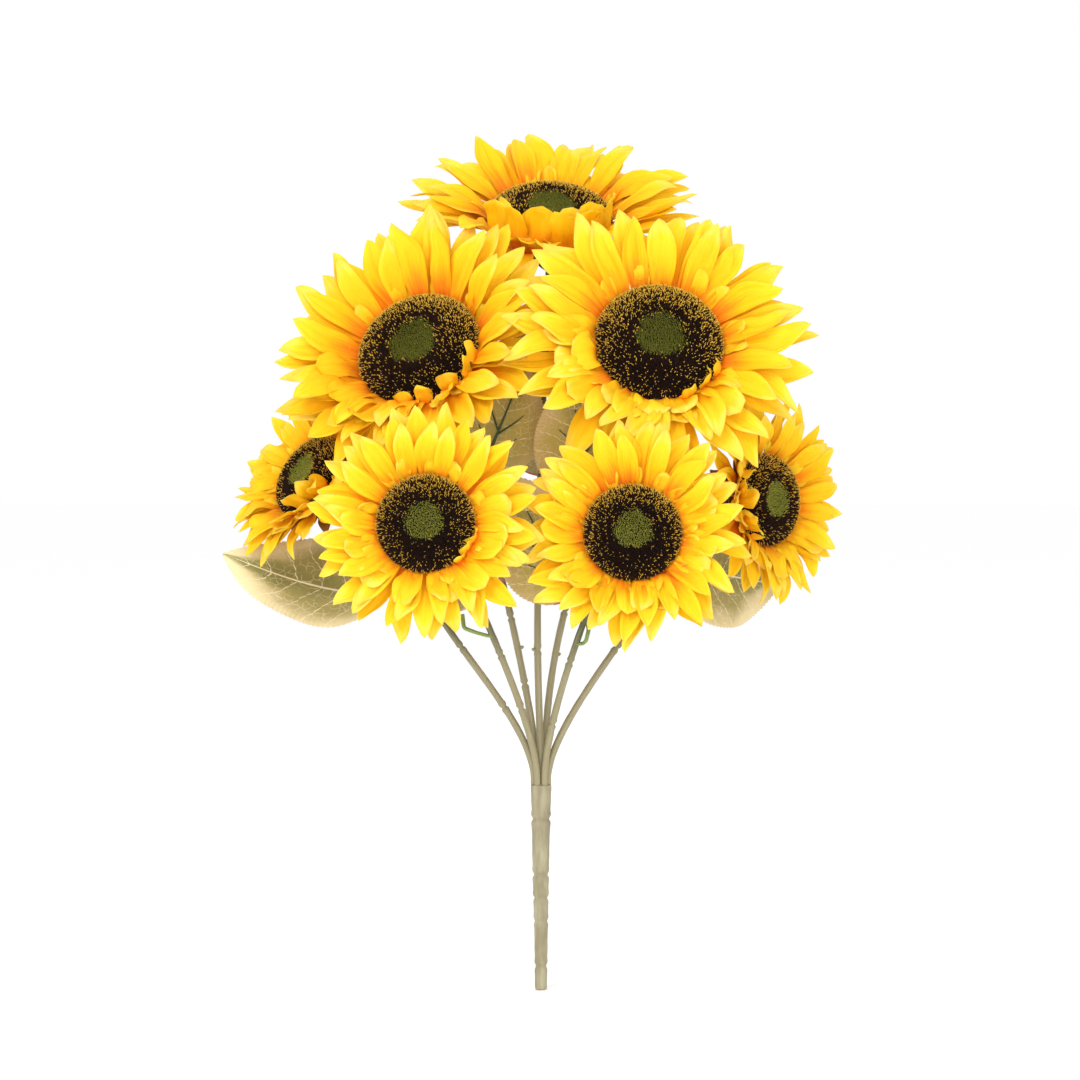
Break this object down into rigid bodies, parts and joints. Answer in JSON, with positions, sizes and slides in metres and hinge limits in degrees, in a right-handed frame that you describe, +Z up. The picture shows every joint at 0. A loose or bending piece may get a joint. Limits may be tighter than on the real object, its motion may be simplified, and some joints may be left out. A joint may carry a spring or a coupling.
{
  "type": "artificial sunflower bush",
  "caption": "Artificial sunflower bush with seven cloth blooms on plastic stems that spring from one moulded main stem.",
  "frame": {"origin": "middle of the flat cut under the main stem", "axes": "+Z up along the main stem, -Y towards the side that the blooms face, +X to the right seen from there"},
  "size_m": [0.4038, 0.3184, 0.554],
  "materials": {
    "stem": "satin moulded plastic",
    "petals": "dyed cloth, lemon tips to orange feet",
    "disc": "flocked pile, plum brown with gold tips and a moss green middle",
    "calyx": "dyed cloth, amber brown",
    "leaf": "printed cloth, olive with cream veins and a tan edge"
  },
  "bodies": {
    "root": {"calyx_far_left": "calyx", "calyx_far_right": "calyx", "calyx_lower_left": "calyx", "calyx_lower_right": "calyx", "calyx_top": "calyx", "calyx_upper_left": "calyx", "calyx_upper_right": "calyx", "disc_far_left": "disc", "disc_far_right": "disc", "disc_lower_left": "disc", "disc_lower_right": "disc", "disc_top": "disc", "disc_upper_left": "disc", "disc_upper_right": "disc", "leaf_back_left_high": "leaf", "leaf_back_left_inner": "leaf", "leaf_back_left_low": "leaf", "leaf_back_middle": "leaf", "leaf_back_right_high": "leaf", "leaf_back_right_inner": "leaf", "leaf_back_right_low": "leaf", "leaf_back_top": "leaf", "leaf_between_heads": "leaf", "leaf_centre_high_left": "leaf", "leaf_centre_high_right": "leaf", "leaf_centre_low": "leaf", "leaf_centre_pale": "leaf", "leaf_far_left": "leaf", "leaf_low_right": "leaf", "leaf_side_left": "leaf", "leaf_side_right": "leaf", "main_stem": "stem", "petals_far_left": "petals", "petals_far_right": "petals", "petals_lower_left": "petals", "petals_lower_right": "petals", "petals_top": "petals", "petals_upper_left": "petals", "petals_upper_right": "petals", "stem_far_left": "stem", "stem_far_right": "stem", "stem_lower_left": "stem", "stem_lower_right": "stem", "stem_top": "stem", "stem_upper_left": "stem", "stem_upper_right": "stem"}
  },
  "joints": []
}
